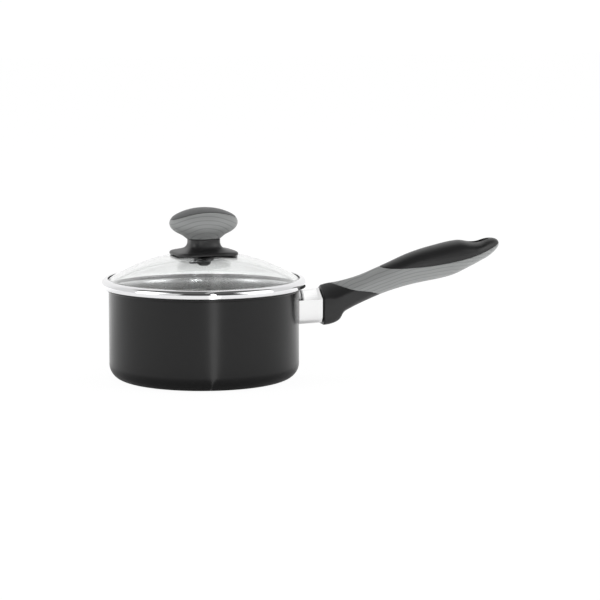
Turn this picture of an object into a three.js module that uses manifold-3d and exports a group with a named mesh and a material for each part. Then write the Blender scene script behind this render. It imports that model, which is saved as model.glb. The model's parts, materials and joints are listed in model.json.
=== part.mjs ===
// Saucepan with a glass lid. Millimetres, +Z up. The origin is the centre of the pan's base on the
// surface it stands on, and the handle runs out along +X.

import * as THREE from 'three';
import * as BufferGeometryUtils from 'three/addons/utils/BufferGeometryUtils.js';
import Module from 'manifold-3d';

const wasm = await Module();
wasm.setup();

// ---------------------------------------------------------------- driving dimensions

const GAP = 0.3; // clearance between neighbouring pieces
const ROUND_SIDES = 48; // segments round the pan and the lid
const SMALL_SIDES = 20; // segments round screws, washers and bores

const PAN_RADIUS = 76.3;
const PAN_WALL = 2.2;
const PAN_FLOOR = 3;
const PAN_CORNER = 12; // outside radius between base and wall
const RIM_BEAD = 1.5; // radius of the rolled bead round the rim
const RIM_TOP = 74.4;

const BAND_RADIUS = 82.4; // widest part of the steel band round the lid
const BAND_SHEET = 0.6;
const SKIRT_RADIUS = 73.2; // skirt that drops inside the pan
const SKIRT_BOTTOM = 65.4;
const BAND_CURVE = 4; // radius of the band's rounded shoulder

const GLASS_THICKNESS = 4;
const GLASS_EDGE_RADIUS = 78.5;
const DOME_RADIUS = 76.2; // where the dome meets the flat edge of the glass
const DOME_FOOT = 80;
const DOME_RISE = 21.5;
const DOME_POWER = 2.3;
const GLASS_HOLE = 4.5;

const VENT_DISTANCE = 40; // steam vent, on the side of the dome away from the front
const VENT_HOLE = 3.2;

const KNOB_YAW = 8; // the lid rests with its knob turned this many degrees from the handle
const KNOB_HALF_LENGTH = 28;
const KNOB_DEPTH_RATIO = 0.7;
const KNOB_TOP = 137.5;
const KNOB_SEAM_TOP = 134.4; // arched seam between the soft bowl and the dark top
const KNOB_SEAM_DROP = 6.2;
const KNOB_NECK_TOP = 112.4;
const POST_TOP = 124; // post of the base inside the soft bowl
const FLANGE_HALF_LENGTH = 25.5;
const FLANGE_HALF_DEPTH = 22.5;

const FERRULE_END = 95; // the ferrule spans from the pan wall to here
const FERRULE_TOP_POWER = 1.02; // nearly straight facets that meet the sides in a crisp crease
const FERRULE_BOTTOM_POWER = 7; // nearly flat underneath
const FERRULE_WALL = 1.2;
const HANDLE_START = 95.6;
const NOSE_START = 232; // from here the handle closes into its rounded tip
const HANDLE_TIP = 246.5;
const GRIP_THICKNESS = 2.2;
const SCREW_Z = 52; // axis of the screw that holds the handle
const SCREW_RADIUS = 2;
const SCREW_SEAT = 104;
const COUNTERBORE = 4.6;
const STUD_RADIUS = 4.4;
const STUD_END = 92;
const SPIGOT_START = 88;

const HANG_SLOT = { centre: 228.5, length: 19, width: 8 };

// ---------------------------------------------------------------- solids from three.js geometry

// A three.js geometry as a manifold-3d solid.
function solid(geometry) {
  const bare = new THREE.BufferGeometry();
  bare.setAttribute('position', geometry.getAttribute('position'));
  bare.setIndex(geometry.getIndex());
  const merged = BufferGeometryUtils.mergeVertices(bare, 1e-4);
  const mesh = new wasm.Mesh({
    numProp: 3,
    vertProperties: new Float32Array(merged.getAttribute('position').array),
    triVerts: new Uint32Array(merged.getIndex().array),
  });
  return new wasm.Manifold(mesh);
}

// A manifold-3d solid as a three.js geometry.
function toGeometry(manifold) {
  const mesh = manifold.getMesh();
  const geometry = new THREE.BufferGeometry();
  geometry.setAttribute('position', new THREE.BufferAttribute(mesh.vertProperties, 3));
  geometry.setIndex(new THREE.BufferAttribute(mesh.triVerts, 1));
  geometry.computeVertexNormals();
  return geometry;
}

const point = (x, y) => new THREE.Vector2(x, y);

// Points of an arc from one angle to another, in degrees, both ends included.
function arc(x, y, radius, from, to, steps) {
  const points = [];
  for (let i = 0; i <= steps; i += 1) {
    const angle = THREE.MathUtils.degToRad(from + ((to - from) * i) / steps);
    points.push(point(x + radius * Math.cos(angle), y + radius * Math.sin(angle)));
  }
  return points;
}

// A solid turned about the Z axis. The profile is (radius, height), anticlockwise.
function turned(profile, sides = ROUND_SIDES) {
  const geometry = new THREE.LatheGeometry([...profile, profile[0]], sides);
  geometry.rotateX(Math.PI / 2);
  return solid(geometry);
}

// A plain ring or, with no bore, a disc, about the Z axis.
function ring(bore, radius, bottom, top, sides = SMALL_SIDES) {
  return turned([point(bore, bottom), point(radius, bottom), point(radius, top), point(bore, top)], sides);
}

// The same solid laid along +X at the height of the handle screw.
function alongHandle(manifold) {
  return manifold.rotate([0, 90, 0]).translate([0, 0, SCREW_Z]);
}

// A side view (x, z) carried right across the object along Y.
function acrossY(outline, halfDepth = 60) {
  const shape = new THREE.Shape(outline);
  const geometry = new THREE.ExtrudeGeometry(shape, { depth: 2 * halfDepth, bevelEnabled: false });
  geometry.rotateX(Math.PI / 2);
  geometry.translate(0, halfDepth, 0);
  return solid(geometry);
}

// Smooth curve through a few (position, value) points, read at one position.
function along(points, position) {
  const last = points.length - 1;
  if (position <= points[0][0]) return points[0][1];
  if (position >= points[last][0]) return points[last][1];
  const i = points.findIndex(([place]) => place > position) - 1;
  const slope = (k) => {
    const before = points[Math.max(k - 1, 0)];
    const after = points[Math.min(k + 1, last)];
    return (after[1] - before[1]) / (after[0] - before[0]);
  };
  const span = points[i + 1][0] - points[i][0];
  const t = (position - points[i][0]) / span;
  const start = (2 * t ** 3 - 3 * t ** 2 + 1) * points[i][1] + (t ** 3 - 2 * t ** 2 + t) * span * slope(i);
  const end = (3 * t ** 2 - 2 * t ** 3) * points[i + 1][1] + (t ** 3 - t ** 2) * span * slope(i + 1);
  return start + end;
}

// A point on a superellipse: power 2 is an ellipse, 1 a diamond, and 4 nearly a rectangle.
function superellipse(angle, halfWidth, halfHeight, power) {
  const shape = (value) => (Math.abs(value) < 1e-6 ? 0 : Math.sign(value) * Math.abs(value) ** (2 / power));
  return [halfWidth * shape(Math.cos(angle)), halfHeight * shape(Math.sin(angle))];
}

// ---------------------------------------------------------------- pan

function panBody() {
  const inside = PAN_RADIUS - PAN_WALL;
  const innerCorner = PAN_CORNER - PAN_WALL;
  const beadX = PAN_RADIUS + 0.5;
  const beadZ = RIM_TOP - RIM_BEAD;
  return turned([
    point(0, 0),
    ...arc(PAN_RADIUS - PAN_CORNER, PAN_CORNER, PAN_CORNER, -90, 0, 8),
    point(PAN_RADIUS, beadZ - 1.4),
    ...arc(beadX, beadZ, RIM_BEAD, -60, 90, 7),
    point(inside + 1, RIM_TOP - 0.5),
    point(inside, RIM_TOP - 3),
    ...arc(inside - innerCorner, PAN_FLOOR + innerCorner, innerCorner, 0, -90, 6),
    point(0, PAN_FLOOR),
  ]);
}

// Threaded post welded to the pan, with a blind hole for the handle screw.
function weldStud() {
  const post = alongHandle(ring(0, STUD_RADIUS, PAN_RADIUS - 4, STUD_END));
  const hole = alongHandle(ring(0, SCREW_RADIUS + GAP, PAN_RADIUS + 3, STUD_END + 5));
  return post.subtract(ring(0, PAN_RADIUS + GAP, 0, RIM_TOP, ROUND_SIDES)).subtract(hole);
}

// ---------------------------------------------------------------- handle

const HANDLE_TOP = [
  [95.6, 72.0], [101, 73.3], [112, 74.9], [129, 79.3], [150, 87.6], [171, 96.2], [190, 101.6],
  [211, 105.6], [223, 104.1], [229, 104.5], [236, 106.8], [246.5, 110],
];
const HANDLE_BOTTOM = [
  [95.6, 40.5], [101, 41.1], [107, 42.9], [110, 45], [111.8, 48.2], [114, 50.6], [119, 52.9],
  [129, 56.8], [150, 64.6], [171, 70.2], [205, 76.7], [222, 84.1], [232, 89], [246.5, 95.3],
];
const HANDLE_CREASE = [
  [95.6, 62.6], [104, 62.2], [114, 65.2], [125, 68.5], [145, 75.5], [171, 85], [205, 92], [246.5, 102.3],
];
const HANDLE_HALF_WIDTH = [
  [95.6, 16.6], [108, 15.4], [125, 12.9], [145, 12], [170, 14], [205, 16], [225, 14.6], [236, 11.4],
  [246.5, 10.2],
];
const TOP_POWER = [[95.6, 1.2], [112, 1.3], [135, 1.8], [160, 2], [246.5, 2.1]];
const BOTTOM_POWER = [[95.6, 7], [104, 6.5], [112, 5], [125, 3], [140, 2.3], [160, 2], [246.5, 2]];

// A closed skin round a lengthwise piece: section(position, angle) gives (y, z) round the piece. Rows
// crowd towards the end when crowding is above 1.
function lofted(start, end, rows, sides, section, crowding = 1) {
  const geometry = new THREE.CylinderGeometry(1, 1, 1, sides, rows);
  const vertices = geometry.getAttribute('position');
  for (let i = 0; i < vertices.count; i += 1) {
    const across = new THREE.Vector2(vertices.getZ(i), vertices.getX(i));
    const share = 1 - Math.max(0.5 - vertices.getY(i), 0) ** crowding;
    const position = start + share * (end - start);
    const rim = section(position, across.angle());
    const middle = section(position, 0);
    const reach = across.length() < 0.5 ? 0 : 1;
    vertices.setXYZ(i, position, reach * rim[0], middle[1] + reach * (rim[1] - middle[1]));
  }
  return solid(geometry);
}

// The whole outer form of the handle, drawn in from its surface by an inset.
function handleForm(inset) {
  const section = (position, angle) => {
    const into = Math.max(position - NOSE_START, 0) / (HANDLE_TIP - NOSE_START);
    const nose = Math.sqrt(Math.max(1 - into ** 2, 0.0004));
    const crease = along(HANDLE_CREASE, position);
    const halfWidth = Math.max(along(HANDLE_HALF_WIDTH, position) * nose - inset, 0.3);
    const rise = Math.max((along(HANDLE_TOP, position) - crease) * nose - inset, 0.3);
    const drop = Math.max((crease - along(HANDLE_BOTTOM, position)) * nose - inset, 0.3);
    const upper = Math.sin(angle) >= 0;
    const power = along(upper ? TOP_POWER : BOTTOM_POWER, position);
    const [y, z] = superellipse(angle, halfWidth, upper ? rise : drop, power);
    return [y, crease + z];
  };
  return lofted(HANDLE_START + inset / 4, HANDLE_TIP - inset / 2, 40, 24, section, 1.25);
}

// Side view of the soft grip: between the seam behind the bolster and the seam below the top leaf.
function gripRegion(spread) {
  const front = [[102, 76], [106, 72.8], [113.4, 70.9], [122, 68.4], [135, 66.3], [146, 62]];
  const rear = [
    [247.5, 104], [243.2, 101.6], [233, 96.6], [217, 92.1], [197.5, 88.2], [177, 85.6], [158, 84.9],
    [147, 85.4], [141, 88.5],
  ];
  const outline = [
    ...front.map(([x, z]) => point(x - 0.3 * spread, z - spread)),
    point(190, 55),
    point(252, 85),
    point(252, 104 + spread),
    ...rear.map(([x, z]) => point(x, z + spread)),
    point(132, 100),
    point(102, 90),
  ];
  return acrossY(outline);
}

function hangSlot() {
  const reach = (HANG_SLOT.length - HANG_SLOT.width) / 2;
  const slot = new THREE.Shape();
  slot.absarc(reach, 0, HANG_SLOT.width / 2, -Math.PI / 2, Math.PI / 2);
  slot.absarc(-reach, 0, HANG_SLOT.width / 2, Math.PI / 2, (3 * Math.PI) / 2);
  const geometry = new THREE.ExtrudeGeometry(slot, { depth: 60, bevelEnabled: false, curveSegments: 8 });
  geometry.translate(HANG_SLOT.centre, 0, 70);
  return solid(geometry);
}

// Section of the ferrule: upright sides, two sloping upper facets and a rounded ridge.
function ferruleForm(inset, start, end) {
  const section = (position, angle) => {
    const share = (position - PAN_RADIUS) / (FERRULE_END - PAN_RADIUS);
    const crease = 61.6 + 0.6 * share;
    const upper = Math.sin(angle) >= 0;
    const rise = 67.8 + 2 * share - crease - inset;
    const drop = crease - 41.7 - 0.8 * share - inset;
    const power = upper ? FERRULE_TOP_POWER : FERRULE_BOTTOM_POWER;
    const [y, z] = superellipse(angle, 14.6 - inset, upper ? rise : drop, power);
    return [y, crease + z];
  };
  return lofted(start, end, 2, 32, section);
}

// Polished sleeve between pan and handle, cut to the curve of the pan wall.
function ferrule() {
  return ferruleForm(0, 60, FERRULE_END)
    .subtract(ferruleForm(FERRULE_WALL, 55, FERRULE_END + 5))
    .subtract(ring(0, PAN_RADIUS + GAP, 20, RIM_TOP + 5, ROUND_SIDES));
}

// Hard part of the handle: bolster, inner core and top leaf, with a spigot inside the ferrule.
function handleCore() {
  const spigot = ferruleForm(FERRULE_WALL + GAP, SPIGOT_START, HANDLE_START + 3);
  const studBore = alongHandle(ring(0, STUD_RADIUS + GAP, SPIGOT_START - 5, STUD_END + 1));
  const screwBore = alongHandle(ring(0, SCREW_RADIUS + GAP, STUD_END, SCREW_SEAT + 5));
  const counterbore = alongHandle(ring(0, COUNTERBORE, SCREW_SEAT, SCREW_SEAT + 27));
  const gripSpace = gripRegion(GAP).subtract(handleForm(GRIP_THICKNESS + GAP));
  return handleForm(0)
    .subtract(gripSpace)
    .add(spigot)
    .subtract(studBore)
    .subtract(screwBore)
    .subtract(counterbore)
    .subtract(hangSlot());
}

// Soft grip moulded round the neck of the handle and along its underside.
function handleGrip() {
  return handleForm(0).subtract(handleForm(GRIP_THICKNESS)).intersect(gripRegion(0)).subtract(hangSlot());
}

function handleFlatWasher() {
  return alongHandle(ring(SCREW_RADIUS + GAP, 4.2, SCREW_SEAT + GAP, SCREW_SEAT + 1.1));
}

// Split spring washer.
function handleLockWasher() {
  const washer = alongHandle(ring(SCREW_RADIUS + GAP, 3.7, SCREW_SEAT + 1.4, SCREW_SEAT + 2.4));
  const split = new THREE.BoxGeometry(4, 0.8, 6);
  split.rotateZ(0.5);
  split.translate(SCREW_SEAT + 1.9, 0, SCREW_Z + 3);
  return washer.subtract(solid(split));
}

// Pan-head screw, its cross recess facing the open end of the counterbore.
function handleScrew() {
  const head = SCREW_SEAT + 2.7;
  const screw = alongHandle(turned([
    point(0, PAN_RADIUS + 4),
    point(SCREW_RADIUS - 0.5, PAN_RADIUS + 4),
    point(SCREW_RADIUS, PAN_RADIUS + 4.8),
    point(SCREW_RADIUS, head),
    point(3.9, head),
    point(3.9, head + 1.4),
    point(3.1, head + 2.4),
    point(1.6, head + 2.8),
    point(0, head + 2.8),
  ], SMALL_SIDES));
  const bladeUp = new THREE.BoxGeometry(3, 1, 4);
  bladeUp.translate(head + 3, 0, SCREW_Z);
  const bladeAcross = new THREE.BoxGeometry(3, 4, 1);
  bladeAcross.translate(head + 3, 0, SCREW_Z);
  return screw.subtract(solid(bladeUp)).subtract(solid(bladeAcross));
}

// ---------------------------------------------------------------- lid

const domeHeight = (radius) => DOME_FOOT + DOME_RISE * (1 - (radius / DOME_RADIUS) ** DOME_POWER);

// Points on the dome, lifted or lowered, from one radius to another.
function domeCurve(from, to, steps, lift) {
  const points = [];
  for (let i = 0; i <= steps; i += 1) {
    const radius = from + ((to - from) * i) / steps;
    points.push(point(radius, domeHeight(radius) + lift));
  }
  return points;
}

// Everything that lies below the dome's outer surface moved by a lift.
function underDome(lift) {
  return turned([point(0, 60), point(DOME_RADIUS, 60), ...domeCurve(DOME_RADIUS, 0, 12, lift)]);
}

const ventPlace = [0, VENT_DISTANCE, domeHeight(VENT_DISTANCE)];
const ventTilt = THREE.MathUtils.radToDeg(Math.atan(
  ((DOME_RISE * DOME_POWER) / DOME_RADIUS) * (VENT_DISTANCE / DOME_RADIUS) ** (DOME_POWER - 1),
));

// A solid about the Z axis, set square to the dome at the vent.
function atVent(manifold) {
  return manifold.rotate([-ventTilt, 0, 0]).translate(ventPlace);
}

function lidGlass() {
  const bottom = DOME_FOOT - GLASS_THICKNESS;
  const glass = turned([
    ...domeCurve(GLASS_HOLE, DOME_RADIUS - 1, 8, -GLASS_THICKNESS),
    point(GLASS_EDGE_RADIUS - 0.8, bottom),
    point(GLASS_EDGE_RADIUS, bottom + 0.8),
    point(GLASS_EDGE_RADIUS, DOME_FOOT - 0.8),
    point(GLASS_EDGE_RADIUS - 0.8, DOME_FOOT),
    ...domeCurve(DOME_RADIUS, GLASS_HOLE, 8, 0),
  ]);
  return glass.subtract(atVent(ring(0, VENT_HOLE + GAP, -12, 8)));
}

// Steel band: lip over the glass, rounded shoulder, upright face, shelf on the pan's rim and inner skirt.
function lidBand() {
  const inner = BAND_RADIUS - BAND_SHEET;
  const shoulder = BAND_RADIUS - BAND_CURVE;
  const shoulderHeight = DOME_FOOT + 0.9 - BAND_CURVE;
  return turned([
    point(SKIRT_RADIUS - BAND_SHEET, SKIRT_BOTTOM),
    point(SKIRT_RADIUS, SKIRT_BOTTOM),
    point(SKIRT_RADIUS, 74),
    point(SKIRT_RADIUS + 0.8, 74.8),
    point(79.7, 74.8),
    point(80.8, 74.3),
    point(BAND_RADIUS - 0.7, 74.2),
    point(BAND_RADIUS, 74.9),
    ...arc(shoulder, shoulderHeight, BAND_CURVE, 0, 90, 6),
    point(76.9, DOME_FOOT + 0.9),
    point(76.9, DOME_FOOT + 0.3),
    ...arc(shoulder, shoulderHeight, BAND_CURVE - BAND_SHEET, 90, 0, 6),
    point(inner, 75.1),
    point(inner - 0.3, 74.85),
    point(81, 74.9),
    point(79.9, 75.4),
    point(SKIRT_RADIUS + 0.5, 75.4),
    point(SKIRT_RADIUS - BAND_SHEET, 74.3),
  ]);
}

// Steel eyelet rolled over both faces of the glass.
function ventEyelet() {
  const outside = 0.35;
  const inside = -GLASS_THICKNESS;
  return atVent(turned([
    point(VENT_HOLE - 0.8, inside - 0.8),
    point(VENT_HOLE + 1.8, inside - 0.8),
    point(VENT_HOLE + 1.8, inside - 0.1),
    point(VENT_HOLE, inside - 0.1),
    point(VENT_HOLE, outside),
    point(VENT_HOLE + 1.8, outside),
    point(VENT_HOLE + 1.5, outside + 0.7),
    point(VENT_HOLE - 0.2, outside + 0.7),
    point(VENT_HOLE - 0.8, outside),
  ], SMALL_SIDES));
}

// ---------------------------------------------------------------- knob

// Half length of the knob's bowl and top at each height.
const KNOB_PROFILE = [
  [14, 112.6], [17.8, 115.5], [23.3, 118.4], [26.7, 121.4], [28, 124.5], [27.6, 127.5], [25.4, 130.5],
  [21.2, 133], [15.6, 135.2], [10, 136.6], [4.5, 137.3],
];

// A piece of the knob, turned about the lid's axis with the rest of it.
function turnedKnob(manifold) {
  return manifold.rotate([0, 0, KNOB_YAW]);
}

// The oval knob, drawn in from its surface by an inset.
function knobForm(inset) {
  const side = KNOB_PROFILE.map(([radius, height]) => {
    const above = (height - 124) / (KNOB_TOP - 124);
    return point(radius - inset * (1 - 0.4 * Math.abs(above)), height - inset * above);
  });
  const profile = [point(0, side[0].y), ...side, point(0, KNOB_TOP - inset)];
  return turned(profile, 48).scale([1, KNOB_DEPTH_RATIO, 1]);
}

// Side view of everything above the arched seam of the knob, which is lifted by a lift.
function aboveKnobSeam(lift) {
  const outline = [];
  for (let i = 0; i <= 16; i += 1) {
    const x = -32 + 4 * i;
    outline.push(point(x, KNOB_SEAM_TOP + lift - KNOB_SEAM_DROP * (x / KNOB_HALF_LENGTH) ** 2));
  }
  return acrossY([...outline, point(32, 150), point(-32, 150)]);
}

// Neck section of the base, wider where it flares into the flange.
function baseForm() {
  const flare = [[97, 1], [101.7, 1], [102.5, 0.96], [103.1, 0.86], [103.8, 0.72], [105, 0.6], [107, 0.525],
    [109.8, 0.495], [KNOB_NECK_TOP, 0.5]];
  const geometry = new THREE.CylinderGeometry(1, 1, 1, 48, flare.length - 1);
  const vertices = geometry.getAttribute('position');
  for (let i = 0; i < vertices.count; i += 1) {
    const across = new THREE.Vector2(vertices.getX(i), vertices.getZ(i));
    const row = Math.round((vertices.getY(i) + 0.5) * (flare.length - 1));
    const [height, scale] = flare[row];
    const power = 2.2 + 1.6 * scale;
    const [halfLength, halfDepth] = [FLANGE_HALF_LENGTH * scale, FLANGE_HALF_DEPTH * scale];
    const [x, y] = superellipse(-across.angle(), halfLength, halfDepth, power);
    const reach = across.length() < 0.5 ? 0 : 1;
    vertices.setXYZ(i, reach * x, reach * y, height);
  }
  return solid(geometry);
}

// Hard base: flange shaped to the dome, neck, and a post inside the bowl with a bore for the insert.
function knobBase() {
  const post = ring(0, 9, KNOB_NECK_TOP - 2, POST_TOP, 32).scale([1.15, 0.85, 1]);
  const insertBore = ring(0, 3.7 + GAP, 95, POST_TOP - 3.5);
  const sealRecess = ring(0, 10.3, 95, 102.7);
  const base = baseForm().add(post).subtract(underDome(GAP));
  return turnedKnob(base.subtract(insertBore).subtract(sealRecess));
}

// Soft bowl of the knob, round the post and below the top.
function knobGrip() {
  const socket = ring(0, 9 + GAP, 100, POST_TOP + GAP, 32).scale([1.15, 0.85, 1]);
  return turnedKnob(knobForm(0).subtract(aboveKnobSeam(-GAP)).subtract(socket));
}

function knobTop() {
  return turnedKnob(knobForm(0).intersect(aboveKnobSeam(0)));
}

// Threaded brass insert in the post.
function knobInsert() {
  return ring(SCREW_RADIUS + GAP, 3.7, 103.2, POST_TOP - 3.9);
}

// Domed screw from below the glass up into the insert.
function knobScrew() {
  const seat = 94.6;
  return turned([
    point(0, seat - 3.8),
    point(2.7, seat - 3.5),
    point(4.8, seat - 2.5),
    point(5.9, seat - 0.9),
    point(6, seat),
    point(SCREW_RADIUS, seat),
    point(SCREW_RADIUS, 115),
    point(SCREW_RADIUS - 0.5, 115.8),
    point(0, 115.8),
  ], SMALL_SIDES).subtract(crossRecess(seat - 3.8));
}

// Cross cut upward into a screw head.
function crossRecess(height) {
  const first = new THREE.BoxGeometry(4.4, 1.1, 3.2);
  first.translate(0, 0, height);
  const second = new THREE.BoxGeometry(1.1, 4.4, 3.2);
  second.translate(0, 0, height);
  return solid(first).add(solid(second));
}

function knobWasher() {
  return ring(SCREW_RADIUS + GAP, 8, 94.9, 95.9, 32);
}

// Silicone ring under the glass, with a collar up through its hole.
function knobSealLower() {
  return turned([
    point(SCREW_RADIUS + GAP, 96.2),
    point(8.4, 96.2),
    point(8.4, 97),
    point(GLASS_HOLE - GAP, 97.2),
    point(GLASS_HOLE - GAP, 101),
    point(SCREW_RADIUS + GAP, 101),
  ], 32);
}

// Silicone ring between the glass and the base.
function knobSealUpper() {
  return ring(GLASS_HOLE + GAP, 9.9, 101.8, 102.4, 32);
}

// ---------------------------------------------------------------- materials and assembly

function finish(colour, roughness, metalness = 0) {
  return { color: colour, roughness, metalness };
}

const BLACK_COATING = finish(0x2b2b2c, 0.35, 0.1);
const BLACK_PLASTIC = finish(0x252526, 0.45);
const GREY_SOFT = finish(0x7d8280, 0.7);
const DARK_INLAY = finish(0x55585a, 0.5);
const POLISHED_STEEL = finish(0xc9cacc, 0.18, 1);
const POLISHED_ALUMINIUM = finish(0xdcdcdc, 0.2, 1);
const ZINC_STEEL = finish(0xa9abad, 0.35, 1);
const BRASS = finish(0xb5923f, 0.35, 1);
const SILICONE = finish(0x9aa0a0, 0.6);
const GLASS = { ...finish(0xdfe9e6, 0.03), transparent: true, opacity: 0.35 };

function piece(name, manifold, look) {
  const mesh = new THREE.Mesh(toGeometry(manifold), new THREE.MeshStandardMaterial(look));
  mesh.name = name;
  return mesh;
}

const pan = new THREE.Group();
pan.add(
  piece('pan_body', panBody(), BLACK_COATING),
  piece('weld_stud', weldStud(), POLISHED_ALUMINIUM),
  piece('ferrule', ferrule(), POLISHED_ALUMINIUM),
  piece('handle_core', handleCore(), BLACK_PLASTIC),
  piece('handle_grip', handleGrip(), GREY_SOFT),
  piece('handle_flat_washer', handleFlatWasher(), ZINC_STEEL),
  piece('handle_lock_washer', handleLockWasher(), ZINC_STEEL),
  piece('handle_screw', handleScrew(), ZINC_STEEL),
);

const lid = new THREE.Group();
lid.add(
  piece('lid_glass', lidGlass(), GLASS),
  piece('lid_band', lidBand(), POLISHED_STEEL),
  piece('vent_eyelet', ventEyelet(), POLISHED_STEEL),
  piece('knob_base', knobBase(), BLACK_PLASTIC),
  piece('knob_grip', knobGrip(), GREY_SOFT),
  piece('knob_top', knobTop(), DARK_INLAY),
  piece('knob_insert', knobInsert(), BRASS),
  piece('knob_screw', knobScrew(), ZINC_STEEL),
  piece('knob_washer', knobWasher(), POLISHED_STEEL),
  piece('knob_seal_lower', knobSealLower(), SILICONE),
  piece('knob_seal_upper', knobSealUpper(), SILICONE),
);

const saucepan = new THREE.Group();
saucepan.add(pan, lid);

export default saucepan;
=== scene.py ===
import json
import math

import bmesh
import bpy
import numpy as np
from mathutils import Matrix, Vector

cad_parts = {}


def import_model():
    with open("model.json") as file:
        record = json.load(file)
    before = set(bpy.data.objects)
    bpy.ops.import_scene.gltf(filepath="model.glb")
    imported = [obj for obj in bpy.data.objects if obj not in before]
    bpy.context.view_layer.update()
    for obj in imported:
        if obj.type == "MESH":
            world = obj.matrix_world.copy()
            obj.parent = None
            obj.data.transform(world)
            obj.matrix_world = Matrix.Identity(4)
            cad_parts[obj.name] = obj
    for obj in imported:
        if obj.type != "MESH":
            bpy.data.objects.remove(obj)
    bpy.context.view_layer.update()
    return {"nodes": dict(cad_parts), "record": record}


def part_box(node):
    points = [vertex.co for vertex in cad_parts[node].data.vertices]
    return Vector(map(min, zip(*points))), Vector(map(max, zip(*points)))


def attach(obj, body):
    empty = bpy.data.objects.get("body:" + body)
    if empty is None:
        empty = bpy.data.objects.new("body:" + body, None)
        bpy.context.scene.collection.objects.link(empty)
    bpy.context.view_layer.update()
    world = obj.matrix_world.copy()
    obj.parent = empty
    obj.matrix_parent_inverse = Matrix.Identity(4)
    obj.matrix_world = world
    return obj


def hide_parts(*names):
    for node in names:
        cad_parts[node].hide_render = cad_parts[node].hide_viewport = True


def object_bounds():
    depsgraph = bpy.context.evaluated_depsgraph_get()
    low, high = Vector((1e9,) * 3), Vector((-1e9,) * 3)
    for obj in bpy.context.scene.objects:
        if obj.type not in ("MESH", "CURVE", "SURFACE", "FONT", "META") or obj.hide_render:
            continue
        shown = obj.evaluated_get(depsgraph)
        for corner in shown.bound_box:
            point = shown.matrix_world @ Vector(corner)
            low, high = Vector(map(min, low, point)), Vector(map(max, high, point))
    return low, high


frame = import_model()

MM = 0.001  # shapes below are worked out in millimetres and placed in metres

# ---------------------------------------------------------------- sizes read from the frame

PAN_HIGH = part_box("pan_body")[1] / MM
BAND_LOW, BAND_HIGH = (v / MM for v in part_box("lid_band"))
GLASS_LOW, GLASS_HIGH = (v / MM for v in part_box("lid_glass"))
KNOB_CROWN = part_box("knob_top")[1].z / MM
FERRULE_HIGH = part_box("ferrule")[1] / MM
GRIP_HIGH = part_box("handle_grip")[1] / MM
FLOOR_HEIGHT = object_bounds()[0][2] - 0.0002

BEAD = 1.5  # radius of the rolled bead on the pan's rim
PAN_RADIUS = PAN_HIGH.x - 2
PAN_WALL = 2.2
PAN_FLOOR = 3
PAN_CORNER = 12
RIM_TOP = PAN_HIGH.z
SHEET = 0.6  # steel of the lid band
BAND_CURVE = 4  # radius of the rounded shoulder of the band
SKIRT_RADIUS = BAND_HIGH.x - 9.2
GLASS_THICKNESS = 4
GLASS_HOLE = 4.5
DOME_RADIUS = GLASS_HIGH.x - 2.3
DOME_FOOT = GLASS_LOW.z + GLASS_THICKNESS
DOME_RISE = 21.5
DOME_POWER = 2.3
VENT_DISTANCE = 40
VENT_RADIUS = 3.2
FLANGE = (25.5, 22.5)  # half length and half depth of the knob's flange
KNOB_DEPTH_RATIO = 0.7
KNOB_SEAM = (134.4, 6.2)  # height of the arched seam at the middle, and its drop at the ends
HANDLE_START = 95.6
HANDLE_TIP = GRIP_HIGH.x
NOSE_START = 232
GRIP_THICKNESS = 2.2
SEAM_GAP = 0.3
FERRULE_WALL = 1.2
SHARP_ANGLE = 38  # degrees; edges sharper than this stay crisp
SCREW_HEIGHT = 52

# ---------------------------------------------------------------- curves and outlines


def along(points, where):
    """Smooth curve through a few (position, value) points, read at an array of positions."""
    x, y = np.array(points, float).T
    slope = np.empty_like(y)
    slope[1:-1] = (y[2:] - y[:-2]) / (x[2:] - x[:-2])
    slope[0] = (y[1] - y[0]) / (x[1] - x[0])
    slope[-1] = (y[-1] - y[-2]) / (x[-1] - x[-2])
    where = np.clip(where, x[0], x[-1])
    i = np.clip(np.searchsorted(x, where, side="right") - 1, 0, len(x) - 2)
    span = x[i + 1] - x[i]
    t = (where - x[i]) / span
    start = (2 * t**3 - 3 * t**2 + 1) * y[i] + (t**3 - 2 * t**2 + t) * span * slope[i]
    end = (3 * t**2 - 2 * t**3) * y[i + 1] + (t**3 - t**2) * span * slope[i + 1]
    return start + end


def arc(x, y, radius, first, last, steps):
    """Points of an arc between two angles in degrees, both ends included."""
    angles = np.radians(np.linspace(first, last, steps + 1))
    return [(x + radius * math.cos(a), y + radius * math.sin(a)) for a in angles]


def filleted(corners, steps=6):
    """An outline through (x, y, radius) corners, each rounded by its radius."""
    points = []
    for i, (x, y, radius) in enumerate(corners):
        here = Vector((x, y))
        if radius == 0:
            points.append((x, y))
            continue
        before = (Vector(corners[i - 1][:2]) - here).normalized()
        after = (Vector(corners[(i + 1) % len(corners)][:2]) - here).normalized()
        half = before.angle(after) / 2
        centre = here + (before + after).normalized() * (radius / math.sin(half))
        start = here + before * (radius / math.tan(half)) - centre
        end = here + after * (radius / math.tan(half)) - centre
        for k in range(steps + 1):
            spoke = start.lerp(end, k / steps).normalized() * radius
            points.append(tuple(centre + spoke))
    return points


def signed_power(value, power):
    return np.sign(value) * np.abs(value) ** power


# ---------------------------------------------------------------- meshes


def new_object(name, points, faces, materials, sharp_angle=SHARP_ANGLE):
    """A mesh object from points in millimetres, smooth apart from edges sharper than the angle."""
    mesh = bpy.data.meshes.new(name)
    mesh.from_pydata([tuple(p) for p in np.asarray(points, float) * MM], [], faces)
    mesh.validate()
    for material in materials:
        mesh.materials.append(material)
    mesh.shade_smooth()
    mesh.set_sharp_from_angle(angle=math.radians(sharp_angle))
    made = bpy.data.objects.new(name, mesh)
    bpy.context.scene.collection.objects.link(made)
    return made


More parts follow.
